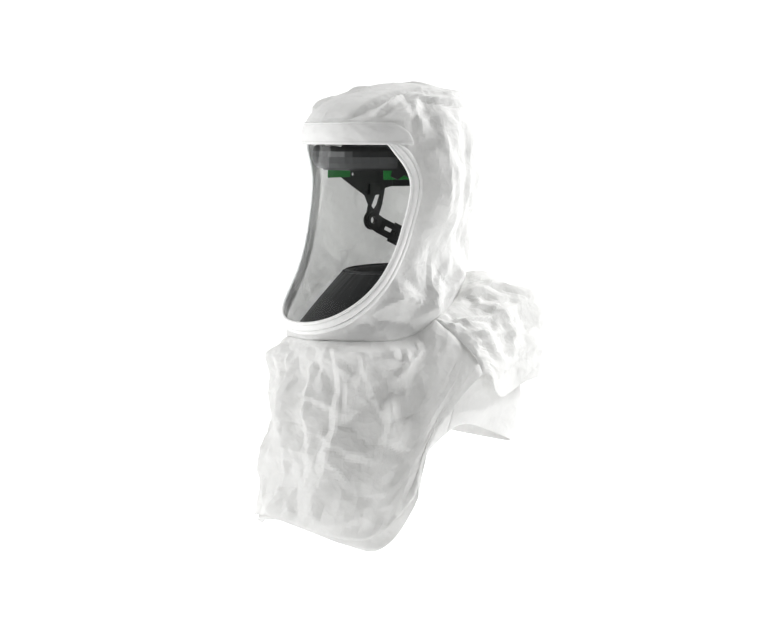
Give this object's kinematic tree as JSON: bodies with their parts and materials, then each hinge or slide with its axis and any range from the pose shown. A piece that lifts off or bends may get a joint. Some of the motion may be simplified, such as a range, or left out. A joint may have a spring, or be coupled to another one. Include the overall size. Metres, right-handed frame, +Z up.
{
  "type": "powered air respirator hood",
  "caption": "White cloth respirator hood with a wrap-round clear face lens, black neck collar, double shoulder bib and a black head harness with an air duct and nape ratchet.",
  "frame": {"origin": "centre of the headband, where the harness sits on the wearer's head", "axes": "+Z up, -Y the way the wearer faces, +X towards the wearer's left"},
  "size_m": [0.3566, 0.4261, 0.618],
  "materials": {
    "white_cloth": "matt nonwoven cloth",
    "binding": "matt piped binding",
    "clear_lens": "clear gloss film",
    "black_cloth": "matt stretch cloth",
    "black_plastic": "satin moulded nylon",
    "green_mesh": "matt",
    "green_foam": "matt foam",
    "black_foam": "matt foam",
    "black_rubber": "matt",
    "steel": "brushed"
  },
  "bodies": {
    "hood": {"hood_left_panel": "white_cloth", "hood_right_panel": "white_cloth", "hood_crown_panel": "white_cloth", "brow_strip": "white_cloth", "face_lens": "clear_lens", "lens_trim": "binding", "outer_front_bib": "white_cloth", "outer_rear_bib": "white_cloth", "inner_front_bib": "white_cloth", "inner_rear_bib": "white_cloth", "neck_collar": "black_cloth", "collar_elastic": "black_rubber", "headband_frame": "black_plastic", "brow_pad": "black_foam", "brow_diffuser": "black_plastic", "rear_band": "black_plastic", "rear_pad": "green_foam", "crown_strap": "black_plastic", "crown_pad": "black_foam", "crown_duct": "black_plastic", "inlet_spigot": "black_plastic", "spigot_retaining_ring": "steel", "spigot_o_ring": "black_rubber", "vent_pad_left": "green_mesh", "hook_patch_left": "black_cloth", "strap_rivet_left": "steel", "pivot_eyelet_left": "black_plastic", "vent_pad_right": "green_mesh", "hook_patch_right": "black_cloth", "strap_rivet_right": "steel", "pivot_eyelet_right": "black_plastic"},
    "nape_straps": {"nape_strap_left": "black_plastic", "nape_strap_right": "black_plastic"},
    "cradle": {"nape_cradle": "black_plastic", "nape_pad": "black_foam", "ratchet_base": "black_plastic", "detent_spring": "steel"},
    "knob": {"ratchet_knob": "black_plastic", "ratchet_pinion": "black_plastic", "knob_screw": "steel"},
    "swivel": {"swivel_connector": "black_plastic"},
    "tab_left": {"release_tab_left": "green_mesh"},
    "tab_right": {"release_tab_right": "green_mesh"}
  },
  "joints": [
    {"name": "nape_tilt", "type": "hinge", "parent": "hood", "child": "nape_straps", "pos_m": [0, 0.024, -0.066], "axis": [1, 0, 0], "range_deg": [-10, 6]},
    {"name": "cradle_slide", "type": "slide", "parent": "nape_straps", "child": "cradle", "axis": [0, 0.8572, -0.515], "range_m": [0, 0.008]},
    {"name": "knob_turn", "type": "hinge", "parent": "cradle", "child": "knob", "pos_m": [0, 0.07543, -0.0969], "axis": [0, 0.8572, -0.515], "range_deg": [-5, 120]},
    {"name": "inlet_swivel", "type": "hinge", "parent": "hood", "child": "swivel", "pos_m": [0, 0.1041, 0.016], "axis": [0, 0, 1], "continuous": true},
    {"name": "tab_left_press", "type": "slide", "parent": "swivel", "child": "tab_left", "axis": [-1, 0, 0], "range_m": [0, 0.0012], "stiffness_N_per_m": 400},
    {"name": "tab_right_press", "type": "slide", "parent": "swivel", "child": "tab_right", "axis": [1, 0, 0], "range_m": [0, 0.0012], "stiffness_N_per_m": 400}
  ],
  "couplings": [
    {"joint": "knob_turn", "follows": "cradle_slide", "rad_per_m": 250}
  ]
}
